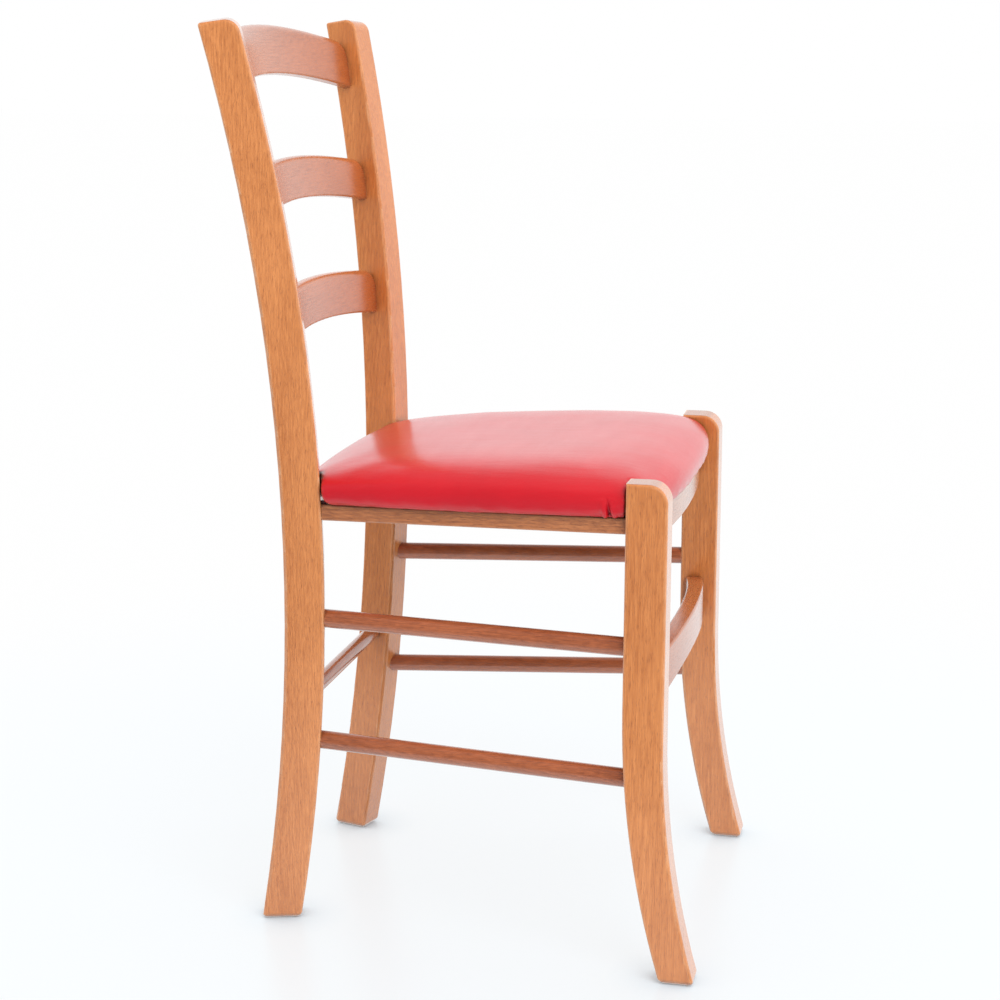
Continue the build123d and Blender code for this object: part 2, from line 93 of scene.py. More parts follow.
def dotOf(tree, at, first, second):
    node = put(tree, "VectorMath", at, {"operation": "DOT_PRODUCT"})
    feed(tree, first, node.inputs[0])
    feed(tree, second, node.inputs[1])
    return node.outputs["Value"]


def scaled(tree, at, vector, scale, location=(0, 0, 0), rotation=(0, 0, 0)):
    node = put(tree, "Mapping", at, Vector=vector, Scale=scale, Location=location, Rotation=rotation)
    return node.outputs[0]


# noise with its own scale on each axis
def drawnNoise(tree, at, vector, scale, **sockets):
    stretched = scaled(tree, (at[0] - 200, at[1]), vector, scale)
    return put(tree, "TexNoise", at, Vector=stretched, Scale=1.0, **sockets).outputs[0]


def evenNoise(tree, at, vector, scale, **sockets):
    return put(tree, "TexNoise", at, Vector=vector, Scale=scale, **sockets).outputs[0]


def objectCoords(tree, at):
    return put(tree, "TexCoord", at).outputs["Object"]


def newGroup(name, inputs, outputs):
    group = bpy.data.node_groups.new(name, "ShaderNodeTree")
    for label, kind in inputs:
        group.interface.new_socket(label, in_out="INPUT", socket_type="NodeSocket" + kind)
    for label, kind in outputs:
        group.interface.new_socket(label, in_out="OUTPUT", socket_type="NodeSocket" + kind)
    start = group.nodes.new("NodeGroupInput")
    start.location = (-1500, 0)
    end = group.nodes.new("NodeGroupOutput")
    end.location = (900, 0)
    return group, start.outputs, end.inputs


def place(tree, group, at, **sockets):
    node = put(tree, "Group", at, {"node_tree": group}, **sockets)
    return node.outputs


def newMaterial(name):
    material = bpy.data.materials.new(name)
    material.use_nodes = True
    tree = material.node_tree
    tree.nodes.clear()
    shader = put(tree, "BsdfPrincipled", (600, 0))
    end = put(tree, "OutputMaterial", (900, 0))
    tree.links.new(shader.outputs[0], end.inputs[0])
    return material, tree, shader


def surface(tree, shader, colour, rough, bump):
    feed(tree, colour, shader.inputs["Base Color"])
    feed(tree, rough, shader.inputs["Roughness"])
    feed(tree, bump.outputs[0], shader.inputs["Normal"])


# beech: soft growth bands, fine streaks and short ray flecks, all along the grain (local Z)
beech = {
    "bands": (26, 26, 1.7), "bandGain": 1.3, "bandShift": -0.15,
    "streaks": (950, 950, 42), "streakGain": 1.4,
    "mottle": (170, 170, 60), "mottleGain": 0.25,
    "clouds": 9.0, "cloudGain": 0.8,
    "flecks": (1700, 1700, 150), "fleckFrom": 0.56, "fleckFull": 0.72, "fleckTone": (0.42, 0.30, 0.24, 1),
    "rings": 95.0, "ringWaver": 3.5, "ringStretch": (1, 1, 0.10), "ringHeart": (0.055, 0.021, 0.0),
    "ringLean": (radians(2.5), radians(-2.0), 0),
    "endFrom": 0.82, "endFull": 0.97, "endShare": 0.8, "endTone": (0.62, 0.58, 0.56, 1),
    "rough": 0.19, "streakRough": 0.14, "fleckRough": 0.12, "streakRidge": 0.5, "fleckPit": -0.7,
}


def beechGroup():
    group, given, out = newGroup(
        "beechGrain",
        [("Grain", "Vector"), ("Along", "Vector"), ("Pale", "Color"), ("Deep", "Color"),
         ("Fleck", "Float"), ("Rings", "Float")],
        [("Color", "Color"), ("Roughness", "Float"), ("Height", "Float")])
    grain = given["Grain"]
    broad = drawnNoise(group, (-1000, 400), grain, beech["bands"], Detail=3.0)
    streak = drawnNoise(group, (-1000, 150), grain, beech["streaks"], Detail=0.5)
    dash = drawnNoise(group, (-1000, -100), grain, beech["flecks"], Detail=1.0)
    cloud = evenNoise(group, (-1000, -350), grain, beech["clouds"], Detail=2.0)
    mottle = drawnNoise(group, (-1000, -600), grain, beech["mottle"], Detail=2.0)
    ringPlace = scaled(group, (-1200, -850), grain, beech["ringStretch"], beech["ringHeart"], beech["ringLean"])
    ring = put(group, "TexWave", (-1000, -850), {"wave_type": "RINGS", "rings_direction": "Z"}, Vector=ringPlace,
               Scale=beech["rings"], Distortion=beech["ringWaver"], Detail=3.0, Detail_Scale=0.4)
    fleck = spread(group, (-700, -100), dash, beech["fleckFrom"], beech["fleckFull"], 0.0, 1.0, True)
    fleck = sums(group, (-500, -100), "MULTIPLY", fleck, given["Fleck"])
    tone = sums(group, (-700, 400), "MULTIPLY_ADD", broad, beech["bandGain"], beech["bandShift"])
    fine = sums(group, (-700, 150), "MULTIPLY_ADD", streak, beech["streakGain"], -beech["streakGain"] / 2)
    patchy = sums(group, (-700, -600), "SUBTRACT", mottle, 0.5)
    fine = sums(group, (-500, 150), "MULTIPLY_ADD", patchy, beech["mottleGain"], fine)
    ringed = sums(group, (-700, -850), "MULTIPLY_ADD", ring.outputs[1], 1.0, -0.5)
    ringed = sums(group, (-500, -850), "MULTIPLY", ringed, given["Rings"])
    tone = sums(group, (-500, 400), "ADD", tone, fine)
    tone = sums(group, (-300, 400), "ADD", tone, ringed)
    cloudy = sums(group, (-700, -350), "MULTIPLY_ADD", cloud, beech["cloudGain"], -beech["cloudGain"] / 2)
    tone = sums(group, (-100, 400), "ADD", tone, cloudy, clamp=True)
    colour = mixColour(group, (100, 300), tone, given["Pale"], given["Deep"])
    colour = mixColour(group, (300, 300), fleck, colour, beech["fleckTone"], "MULTIPLY")
    # end grain drinks more stain
    facing = put(group, "NewGeometry", (-700, 700)).outputs["Normal"]
    endOn = sums(group, (-300, 700), "ABSOLUTE", dotOf(group, (-500, 700), facing, given["Along"]))
    endMask = spread(group, (-100, 700), endOn, beech["endFrom"], beech["endFull"], 0.0, beech["endShare"], True)
    endTone = mixColour(group, (300, 550), 1.0, given["Deep"], beech["endTone"], "MULTIPLY")
    colour = mixColour(group, (500, 300), endMask, colour, endTone)
    rough = sums(group, (100, 0), "MULTIPLY_ADD", streak, beech["streakRough"], beech["rough"])
    rough = sums(group, (300, 0), "MULTIPLY_ADD", fleck, beech["fleckRough"], rough)
    height = sums(group, (100, -300), "MULTIPLY", streak, beech["streakRidge"])
    height = sums(group, (300, -300), "MULTIPLY_ADD", fleck, beech["fleckPit"], height)
    feed(group, colour, out["Color"])
    feed(group, rough, out["Roughness"])
    feed(group, height, out["Height"])
    return group


# worn arrises lightened as wear and as a painted highlight, and painted shade darkening the colour in the corners of
# the joints
wearHighlightShade = {
    "edgeFrom": 0.995, "edgeFull": 0.93, "patches": 60.0, "patchLow": 0.35, "patchHigh": 0.65, "patchLeast": 0.35,
    "cornerShadeFull": 0.35, "cornerShadeClear": 0.8,
}


def wearHighlightShadeGroup():
    group, given, out = newGroup(
        "wearHighlightShadeMarks",
        [("Radius", "Float"), ("Reach", "Float")],
        [("RubbedAndHighlight", "Float"), ("CornerShade", "Float")])
    # painted highlight and wear: arrises found with the bevel normal are lightened in patches
    rounded = put(group, "Bevel", (-900, 200), {"samples": 4}, Radius=given["Radius"]).outputs[0]
    facing = put(group, "NewGeometry", (-900, 0)).outputs["Normal"]
    sharp = dotOf(group, (-600, 150), rounded, facing)
    patchy = evenNoise(group, (-600, -100), objectCoords(group, (-900, -200)), wearHighlightShade["patches"], Detail=3.0)
    edge = spread(group, (-300, 150), sharp, wearHighlightShade["edgeFrom"], wearHighlightShade["edgeFull"], 0.0, 1.0, True)
    patchy = spread(group, (-300, -100), patchy, wearHighlightShade["patchLow"], wearHighlightShade["patchHigh"],
                    wearHighlightShade["patchLeast"], 1.0)
    rubbedAndHighlight = sums(group, (0, 150), "MULTIPLY", edge, patchy)
    # painted shade: ambient occlusion darkens the colour in corners and hollows
    shade = put(group, "AmbientOcclusion", (-600, -400), {"samples": 6, "only_local": False},
                Distance=given["Reach"])
    corner = spread(group, (-300, -400), shade.outputs["AO"], wearHighlightShade["cornerShadeFull"], wearHighlightShade["cornerShadeClear"],
                    1.0, 0.0, True)
    feed(group, rubbedAndHighlight, out["RubbedAndHighlight"])
    feed(group, corner, out["CornerShade"])
    return group


beechGrain = beechGroup()
wearHighlightShadeMarks = wearHighlightShadeGroup()


# stained and lacquered wood; turn lays local Z of the grain along the piece
# each stain's worn tone lightens the arrises as wear and as a painted highlight; its corner tone is painted shade for
# the hollows
honeyStain = {
    "pale": (0.80, 0.285, 0.086, 1), "deep": (0.55, 0.165, 0.040, 1), "rubbedAndHighlight": (0.95, 0.57, 0.32, 1),
    "corner": (0.20, 0.055, 0.02, 1), "cornerShadeShare": 0.45, "coatRoughness": 0.15,
}
slatStain = {
    "pale": (0.57, 0.150, 0.042, 1), "deep": (0.38, 0.090, 0.024, 1), "rubbedAndHighlight": (0.74, 0.33, 0.15, 1),
    "corner": (0.16, 0.045, 0.016, 1), "cornerShadeShare": 0.45, "coatRoughness": 0.22,
}
# rails: stain and grain, made deeper to paint in the shade under the pad, with strong painted shade at their corners
railStainShaded = {
    "pale": (0.62, 0.215, 0.078, 1), "deep": (0.30, 0.090, 0.034, 1), "rubbedAndHighlight": (0.60, 0.26, 0.12, 1),
    "corner": (0.09, 0.026, 0.011, 1), "cornerShadeShare": 0.95, "coatRoughness": 0.2,
}
brownStain = {
    "pale": (0.52, 0.145, 0.056, 1), "deep": (0.31, 0.078, 0.028, 1), "rubbedAndHighlight": (0.60, 0.21, 0.09, 1),
    "corner": (0.10, 0.028, 0.012, 1), "cornerShadeShare": 0.6, "coatRoughness": 0.14,
}
alongPost, alongSide, alongCross = (0, 0, 0), (radians(90), 0, 0), (0, radians(90), 0)

# pieces sawn alike share stain, grain direction, flecks and rings
postCut = {"stain": honeyStain, "turn": alongPost, "fleck": 0.50, "rings": 0.14}
topSlatCut = {"stain": slatStain, "turn": alongCross, "fleck": 0.2, "rings": 0.14}
slatCut = {"stain": slatStain, "turn": alongCross, "fleck": 0.2, "rings": 0.16}
sideRailCut = {"stain": railStainShaded, "turn": alongSide, "fleck": 0.60, "rings": 0.16}
crossRailCut = {"stain": railStainShaded, "turn": alongCross, "fleck": 0.28, "rings": 0.2}
frontStretcherCut = {"stain": slatStain, "turn": alongCross, "fleck": 0.28, "rings": 0.2}
sideStretcherCut = {"stain": brownStain, "turn": alongSide, "fleck": 0.45, "rings": 0.2}
rearStretcherCut = {"stain": brownStain, "turn": alongCross, "fleck": 0.45, "rings": 0.2}

# where in the timber each piece is cut from
woodPieces = {
    "rear_post_right": (postCut, (0.013, 0.31, 0.2)),
    "rear_post_left": (postCut, (0.41, 0.12, 0.9)),
    "front_leg_right": (postCut, (0.77, 0.52, 1.7)),
    "front_leg_left": (postCut, (0.23, 0.93, 2.3)),
    "top_slat": (topSlatCut, (0.035, 0.02, 0.1)),
    "middle_slat": (slatCut, (0.065, 0.05, 0.5)),
    "bottom_slat": (slatCut, (0.095, 0.08, 0.8)),
    "side_rail_right": (sideRailCut, (0.15, 0.35, 0.4)),
    "side_rail_left": (sideRailCut, (0.55, 0.65, 1.4)),
    "front_rail": (crossRailCut, (0.85, 0.15, 0.6)),
    "rear_rail": (crossRailCut, (0.25, 0.45, 1.6)),
    "front_stretcher": (frontStretcherCut, (0.33, 0.75, 2.6)),
    "upper_side_stretcher_right": (sideStretcherCut, (0.11, 0.21, 0.3)),
    "upper_side_stretcher_left": (sideStretcherCut, (0.31, 0.41, 0.7)),
    "lower_side_stretcher_right": (sideStretcherCut, (0.51, 0.61, 1.1)),
    "lower_side_stretcher_left": (sideStretcherCut, (0.71, 0.81, 1.5)),
    "rear_stretcher": (rearStretcherCut, (0.91, 0.11, 1.9)),
}
lacquer = {
    "coat": 1.0, "grainDepth": 0.00012, "grainStrength": 0.35,
    "rubHighlightRadius": 0.0028, "rubHighlightShare": 0.75, "cornerShadeReach": 0.012,
}


def lacqueredWood(name, cut, start):
    material, tree, shader = newMaterial(name)
    stain, turn = cut["stain"], cut["turn"]
    grain = scaled(tree, (-1000, 0), objectCoords(tree, (-1200, 0)), (1, 1, 1), start, turn)
    axis = Matrix.Rotation(turn[0], 3, "X") @ Matrix.Rotation(turn[1], 3, "Y") @ Vector((0, 0, 1))
    wood = place(tree, beechGrain, (-700, 0), Grain=grain, Along=tuple(axis),
                 Pale=stain["pale"], Deep=stain["deep"], Fleck=cut["fleck"], Rings=cut["rings"])
    marks = place(tree, wearHighlightShadeMarks, (-700, -350), Radius=lacquer["rubHighlightRadius"], Reach=lacquer["cornerShadeReach"])
    # painted highlight and wear: a lighter tone along the arrises
    rubbedAndHighlight = sums(tree, (-500, 200), "MULTIPLY", marks["RubbedAndHighlight"], lacquer["rubHighlightShare"])
    colour = mixColour(tree, (-300, 100), rubbedAndHighlight, wood["Color"], stain["rubbedAndHighlight"])
    # painted shade: a dark tone in the corners of the joints
    cornerShaded = sums(tree, (-300, -150), "MULTIPLY", marks["CornerShade"], stain["cornerShadeShare"])
    colour = mixColour(tree, (-100, 100), cornerShaded, colour, stain["corner"])
    bump = put(tree, "Bump", (200, -300), Strength=lacquer["grainStrength"],
               Distance=lacquer["grainDepth"], Height=wood["Height"])
    surface(tree, shader, colour, wood["Roughness"], bump)
    shader.inputs["Coat Weight"].default_value = lacquer["coat"]
    shader.inputs["Coat Roughness"].default_value = stain["coatRoughness"]
    return material


def dress(name, material):
    part = nodes[name]
    part.data.materials.clear()
    part.data.materials.append(material)


for name, (cut, start) in woodPieces.items():
    dress(name, lacqueredWood("wood_" + name, cut, start))
print("stained the wood,", len(woodPieces), "pieces")


# seat board: birch plies, hidden between the pad and the dust cover
plyBoard = {
    "pale": (0.62, 0.47, 0.30, 1), "deep": (0.48, 0.34, 0.20, 1), "start": (0.2, 0.7, 0.4),
    "fleck": 0.2, "rings": 0.5, "ply": 0.0014, "plyLine": (0.34, 0.22, 0.12, 1), "plyWaver": 0.4,
    "lineFrom": 0.7, "lineFull": 0.95, "lineShare": 0.5, "rougher": 0.3, "grainDepth": 0.0002, "grainStrength": 0.4,
}


def birchPly():
    material, tree, shader = newMaterial("birchPly")
    coords = objectCoords(tree, (-1200, 0))
    grain = scaled(tree, (-1000, 0), coords, (1, 1, 1), plyBoard["start"], alongSide)
    wood = place(tree, beechGrain, (-700, 0), Grain=grain, Along=(0, 1, 0), Pale=plyBoard["pale"],
                 Deep=plyBoard["deep"], Fleck=plyBoard["fleck"], Rings=plyBoard["rings"])
    perPly = 2 * pi / 20 / plyBoard["ply"]  # a wave of scale 1 repeats every pi / 10
    layer = put(tree, "TexWave", (-700, -400), {"wave_type": "BANDS", "bands_direction": "Z"},
                Vector=coords, Scale=perPly, Distortion=plyBoard["plyWaver"])
    line = spread(tree, (-400, -400), layer.outputs[1], plyBoard["lineFrom"], plyBoard["lineFull"],
                  0.0, plyBoard["lineShare"], True)
    colour = mixColour(tree, (-100, 100), line, wood["Color"], plyBoard["plyLine"])
    rough = sums(tree, (-100, -150), "ADD", wood["Roughness"], plyBoard["rougher"])
    bump = put(tree, "Bump", (200, -300), Strength=plyBoard["grainStrength"],
               Distance=plyBoard["grainDepth"], Height=wood["Height"])
    surface(tree, shader, colour, rough, bump)
    return material


dress("seat_board", birchPly())


# fasteners: wire staples and plated screws
steelFinish = {
    "staples": {"bright": (0.66, 0.66, 0.67, 1), "dull": (0.42, 0.42, 0.43, 1), "rough": 0.24},
    "screws": {"bright": (0.72, 0.69, 0.60, 1), "dull": (0.48, 0.45, 0.37, 1), "rough": 0.18},
}
steelMarks = {"mottle": 900.0, "scratches": (300, 4000, 4000), "scratchRough": 0.25, "depth": 0.00005, "strength": 0.3}


def drawnSteel(name, finish):
    material, tree, shader = newMaterial(name)
    coords = objectCoords(tree, (-1000, 0))
    mottled = evenNoise(tree, (-700, 100), coords, steelMarks["mottle"], Detail=3.0)
    scratch = drawnNoise(tree, (-700, -200), coords, steelMarks["scratches"], Detail=2.0)
    colour = mixColour(tree, (-300, 100), mottled, finish["bright"], finish["dull"])
    rough = sums(tree, (-300, -200), "MULTIPLY_ADD", scratch, steelMarks["scratchRough"], finish["rough"])
    bump = put(tree, "Bump", (200, -300), Strength=steelMarks["strength"], Distance=steelMarks["depth"], Height=scratch)
    surface(tree, shader, colour, rough, bump)
    shader.inputs["Metallic"].default_value = 1.0
    return material


stapleSteel = drawnSteel("stapleWire", steelFinish["staples"])
dress("cover_staples", stapleSteel)
dress("dust_cover_staples", stapleSteel)
dress("seat_screws", drawnSteel("platedScrew", steelFinish["screws"]))
print("board and fasteners finished")


# the seat's own plane: origin on the rail tops, y to the rear
seatFrame = {"middle": -0.0282, "railTop": 0.4364, "slope": radians(1.8)}
seatOrigin = Matrix.Translation((0, seatFrame["middle"], seatFrame["railTop"]))
seatToChair = seatOrigin @ Matrix.Rotation(-seatFrame["slope"], 4, "X")
chairToSeat = seatToChair.inverted()


def moved(points, matrix):
    turn = np.array(matrix.to_3x3())
    return points @ turn.T + np.array(matrix.translation)


def pointsOf(mesh):
    flat = np.zeros(len(mesh.vertices) * 3)
    mesh.vertices.foreach_get("co", flat)
    return flat.reshape(-1, 3)


def setPoints(mesh, points):
    mesh.vertices.foreach_set("co", points.ravel())
    mesh.update()


def edgesOf(mesh):
    flat = np.zeros(len(mesh.edges) * 2, dtype=np.int64)
    mesh.edges.foreach_get("vertices", flat)
    return flat.reshape(-1, 2)


# evens out points along the edges; a negative step back keeps the volume
def relax(points, edges, free, rounds, ease=0.5, back=-0.53):
    count = np.zeros(len(points))
    np.add.at(count, edges.ravel(), 1)
    count = np.maximum(count, 1)[:, None]
    for turn in range(2 * rounds):
        total = np.zeros_like(points)
        np.add.at(total, edges[:, 0], points[edges[:, 1]])
        np.add.at(total, edges[:, 1], points[edges[:, 0]])
        step = ease if turn % 2 == 0 else back
        points = points + step * free[:, None] * (total / count - points)
    return points


def bakedCopy(piece, name):
    graph = bpy.context.evaluated_depsgraph_get()
    mesh = bpy.data.meshes.new_from_object(piece.evaluated_get(graph))
    mesh.name = name
    return mesh


def swapMesh(piece, mesh):
    piece.modifiers.clear()
    old = piece.data
    piece.data = mesh
    bpy.data.meshes.remove(old)


def meshFrom(built, name):
    mesh = bpy.data.meshes.new(name)
    built.to_mesh(mesh)
    built.free()
    return mesh


def newPiece(name, mesh):
    piece = bpy.data.objects.new(name, mesh)
    scene.collection.objects.link(piece)
    return piece


# padded seat: board and foam under a stretched leatherette skin, metres in the seat's frame
seatPad = {
    "back": 0.1835, "front": 0.1812, "rearHalf": 0.161, "frontHalf": 0.195,
    "sideBow": 0.007, "frontBow": 0.023, "rearBow": 0.008, "bowFade": 0.22,
    "crown": 0.0440, "fall": 0.0127, "fullAt": 0.0120, "tuck": 0.0062,
    "corner": 0.095, "rounder": 3.0, "roundest": 0.9,
    "reach": 0.110, "power": 2.9, "rearReach": 0.135, "rearPower": 2.4, "frontReach": 0.120, "frontPower": 2.45,
    "endFrom": 0.4, "endOver": 0.5, "inmost": 0.15, "ringCrowding": 1.7,
    "sideSteps": 84, "cornerSteps": 12, "underSteps": 7, "overSteps": 40, "voxel": 0.0045,
    "frames": 20, "swell": 0.0013, "heldBelow": 0.0025, "heldFade": 0.004, "evenOut": 24,
    "skinVoxel": 0.0025, "settle": 4,
}
padCloth = {
    "quality": 5, "mass": 0.3, "tension_stiffness": 15, "compression_stiffness": 15, "bending_stiffness": 0.5,
    "use_pressure": True, "uniform_pressure_force": 4.0, "vertex_group_mass": "held",
}
# the chair's right-hand corners where the pad is cut round post and leg: inner corner low and high,
# the way out from it and the way on along the post or leg
padNotches = {
    "post": {"low": (-0.1290, 0.1651, 0.0), "high": (-0.1336, 0.1650, 0.055),
             "out": (-0.9598, -0.2807), "on": (-0.2807, 0.9598), "lift": 0.013},
    "leg": {"low": (-0.1663, -0.1398, 0.0), "high": (-0.1651, -0.1417, 0.055),
            "out": (-1.0, 0.0), "on": (0.0, -1.0), "lift": 0.005},
}
notchBlock = {"width": 0.12, "beyond": 0.8, "liftBefore": 0.006, "liftPast": 0.003, "liftOver": 0.008}
skinMarks = {
    "from": 0.0012, "wave": 0.00022, "waveEvery": 0.045, "waveFull": 0.02,
    "pullEvery": 0.031, "pullDepth": 0.0008, "pullHeight": 0.014, "sideFrom": 0.15,
    "wanderScale": 9, "wanderLayer": 0.3, "wander": 3,
}
legTuck = {
    "at": -0.1257, "from": 0.16, "height": 0.019, "depth": 0.0042, "lip": 0.0026, "farLip": 0.6, "width": 0.0016,
    "shoulder": 0.0042, "sharp": 1.3, "lean": 0.12, "fade": 0.7, "finerReach": 3, "finerHeight": 1.3, "finerCuts": 2,
}


# one level ring of the pad, drawn in from its fullest line
def padRing(inset):
    pad = seatPad
    share = 1 - inset / pad["bowFade"]
    bend = min(pad["roundest"], pad["corner"] + pad["rounder"] * inset)
    flat = np.linspace(-1 + bend, 1 - bend, pad["sideSteps"], endpoint=False)
    arc = np.linspace(0, pi / 2, pad["cornerSteps"], endpoint=False)
    along = np.concatenate([flat, 1 - bend + bend * np.sin(arc)])
    out = np.concatenate([np.ones_like(flat), 1 - bend + bend * np.cos(arc)])
    sides = [(along, out), (out, -along), (-along, -out), (-out, along)]
    u, v = np.concatenate([np.stack(side, 1) for side in sides]).T
    rear, fore = pad["rearHalf"] - inset, pad["frontHalf"] - inset
    half = rear + (fore - rear) * (1 - v) / 2 + pad["sideBow"] * share * (1 - v * v)
    rearLine = pad["back"] - inset + pad["rearBow"] * share * (1 - u * u)
    foreLine = -pad["front"] + inset + pad["frontBow"] * share * np.abs(u) ** 3
    return u * half, foreLine + (rearLine - foreLine) * (v + 1) / 2, v


def padBlank():
    pad = seatPad
    rings = []
    for turn in np.linspace(0, pi / 2, pad["underSteps"], endpoint=False):
        x, y, v = padRing(pad["tuck"] * (1 - sin(turn)))
        rings.append((x, y, np.full_like(x, pad["fullAt"] * (1 - cos(turn)))))
    for step in np.linspace(0, 1, pad["overSteps"]):
        inset = pad["inmost"] * step ** pad["ringCrowding"]
        x, y, v = padRing(inset)
        fore = np.clip((-v - pad["endFrom"]) / pad["endOver"], 0, 1)
        aft = np.clip((v - pad["endFrom"]) / pad["endOver"], 0, 1)
        reach, power = (
            pad[side] + (pad[front] - pad[side]) * fore + (pad[back] - pad[side]) * aft
            for side, front, back in (("reach", "frontReach", "rearReach"), ("power", "frontPower", "rearPower")))
        rise = (1 - (1 - np.minimum(inset / reach, 1)) ** power) ** (1 / power)
        top = pad["crown"] - pad["fall"] * (y + pad["front"])
        rings.append((x, y, pad["fullAt"] + (top - pad["fullAt"]) * rise))
    built = bmesh.new()
    loops = [[built.verts.new(seatToChair @ Vector(p)) for p in zip(*ring)] for ring in rings]
    for low, high in zip(loops, loops[1:]):
        for corners in zip(low, low[1:] + low[:1], high[1:] + high[:1], high):
            built.faces.new(corners)
    built.faces.new(loops[0])
    built.faces.new(loops[-1])
    bmesh.ops.recalc_face_normals(built, faces=built.faces)
    piece = newPiece("seat_pad", meshFrom(built, "seatPadBlank"))
    remesh(piece, pad["voxel"])
    return piece


def remesh(piece, size):
    shell = piece.modifiers.new("shell", "REMESH")
    shell.mode = "VOXEL"
    shell.voxel_size = size
    swapMesh(piece, bakedCopy(piece, "seatPadShell"))


# a short pressure run rounds the blank; its shift is capped and evened out
def swellPad(piece):
    start = pointsOf(piece.data)
    edges = edgesOf(piece.data)
    above = moved(start, chairToSeat)[:, 2] - seatPad["heldBelow"]
    free = np.clip(above / seatPad["heldFade"], 0.0, 1.0)
    held = piece.vertex_groups.new(name="held")
    for index in np.nonzero(free < 0.5)[0]:
        held.add([int(index)], 1.0, "REPLACE")
    cloth = piece.modifiers.new("swell", "CLOTH")
    for key, value in padCloth.items():
        setattr(cloth.settings, key, value)
    cloth.settings.effector_weights.gravity = 0
    cloth.collision_settings.use_collision = False
    for step in range(1, seatPad["frames"] + 1):
        scene.frame_set(step)
    mesh = bakedCopy(piece, "seatPadSwollen")
    shift = pointsOf(mesh) - start
    length = np.linalg.norm(shift, axis=1)
    shift = shift * np.minimum(1.0, seatPad["swell"] / np.maximum(length, 1e-9))[:, None]
    shift = relax(shift, edges, free, seatPad["evenOut"], 0.5, 0.5)
    setPoints(mesh, start + shift)
    piece.vertex_groups.clear()
    swapMesh(piece, mesh)
    scene.frame_set(1)
    most = round(float(length.max()) * 1000, 1)
    print("pad swollen by up to", most, "mm before the cap,", len(mesh.vertices), "points")


# takes out the corners where the posts and the front legs stand
def notchPad(piece):
    built = bmesh.new()
    for notch in padNotches.values():
        for side in (1, -1):
            corners = []
            for key, other in (("low", "high"), ("high", "low")):
                spot = Vector(notch[key])
                spot += (spot - Vector(notch[other])) * notchBlock["beyond"]
                for out, on in ((0, 0), (1, 0), (1, 1), (0, 1)):
                    x, y = (spot[i] + notchBlock["width"] * (out * notch["out"][i] + on * notch["on"][i])
                            for i in (0, 1))
                    corners.append(built.verts.new(seatToChair @ Vector((side * x, y, spot.z))))
            for face in ((0, 1, 2, 3), (4, 5, 6, 7), (0, 1, 5, 4), (1, 2, 6, 5), (2, 3, 7, 6), (3, 0, 4, 7)):
                built.faces.new([corners[i] for i in face])
    bmesh.ops.recalc_face_normals(built, faces=built.faces)
    cutter = newPiece("pad_notches", meshFrom(built, "padNotches"))
    blocks = cutter.data
    cut = piece.modifiers.new("notches", "BOOLEAN")
    cut.operation = "DIFFERENCE"
    cut.solver = "EXACT"
    cut.object = cutter
    swapMesh(piece, bakedCopy(piece, "seatPadNotched"))
    bpy.data.objects.remove(cutter)
    bpy.data.meshes.remove(blocks)
    remesh(piece, seatPad["skinVoxel"])
    points = pointsOf(piece.data)
    setPoints(piece.data, relax(points, edgesOf(piece.data), np.ones(len(points)), seatPad["settle"]))


# the folded skin lifts off the rail where it turns in beside a post or leg
def cornerLift(inSeat):
    before = notchBlock["liftBefore"]
    for notch in padNotches.values():
        share = inSeat.z / notch["high"][2]
        spot = [low + (high - low) * share for low, high in zip(notch["low"], notch["high"])]
        away = (abs(inSeat.x) * -1 - spot[0], inSeat.y - spot[1])
        out = away[0] * notch["out"][0] + away[1] * notch["out"][1]
        short = -(away[0] * notch["on"][0] + away[1] * notch["on"][1])
        size = notch["lift"]
        if out > -before and -notchBlock["liftPast"] < short < size and inSeat.z < size:
            lie, sink = size - short, size - inSeat.z
            far = sqrt(lie * lie + sink * sink)
            if far > size:
                pull = (1 - size / far) * min(1.0, (out + before) / notchBlock["liftOver"])
                x = lie * pull * -notch["on"][0] * (-1 if inSeat.x > 0 else 1)
                return Vector((x, lie * pull * -notch["on"][1], sink * pull))
    return Vector((0, 0, 0))


# how far the skin stands in or out: uneven foam, faint pulls from the staples, one tuck beside each front leg
def skinPull(inSeat):
    marks, tuck = skinMarks, legTuck
    if inSeat.z < marks["from"]:
        return 0.0
    low = max(0.0, 1 - inSeat.z / marks["pullHeight"])
    run = inSeat.y if abs(inSeat.x) > marks["sideFrom"] else inSeat.x
    spot = Vector((inSeat.x * marks["wanderScale"], inSeat.y * marks["wanderScale"], marks["wanderLayer"]))
    phase = 2 * pi * run / marks["pullEvery"] + marks["wander"] * noise.noise(spot)
    pull = -marks["pullDepth"] * low * (0.5 + 0.5 * sin(phase))
    pull += marks["wave"] * min(1.0, inSeat.z / marks["waveFull"]) * noise.noise(inSeat / marks["waveEvery"])
    if abs(inSeat.x) > tuck["from"]:
        off = inSeat.y - tuck["at"] - tuck["lean"] * inSeat.z
        fade = max(0.0, 1 - inSeat.z / tuck["height"]) ** tuck["fade"]
        groove = exp(-(off / tuck["width"]) ** 2)
        lips = exp(-((off - tuck["shoulder"]) / tuck["shoulder"] * tuck["sharp"]) ** 2)
        lips += tuck["farLip"] * exp(-((off + tuck["shoulder"]) / tuck["shoulder"] * tuck["sharp"]) ** 2)
        pull += fade * (tuck["lip"] * lips - tuck["depth"] * groove)
    return pull


def besideLeg(vert):
    inSeat = chairToSeat @ vert.co
    close = abs(inSeat.y - legTuck["at"]) < legTuck["shoulder"] * legTuck["finerReach"]
    return close and abs(inSeat.x) > legTuck["from"] and inSeat.z < legTuck["height"] * legTuck["finerHeight"]


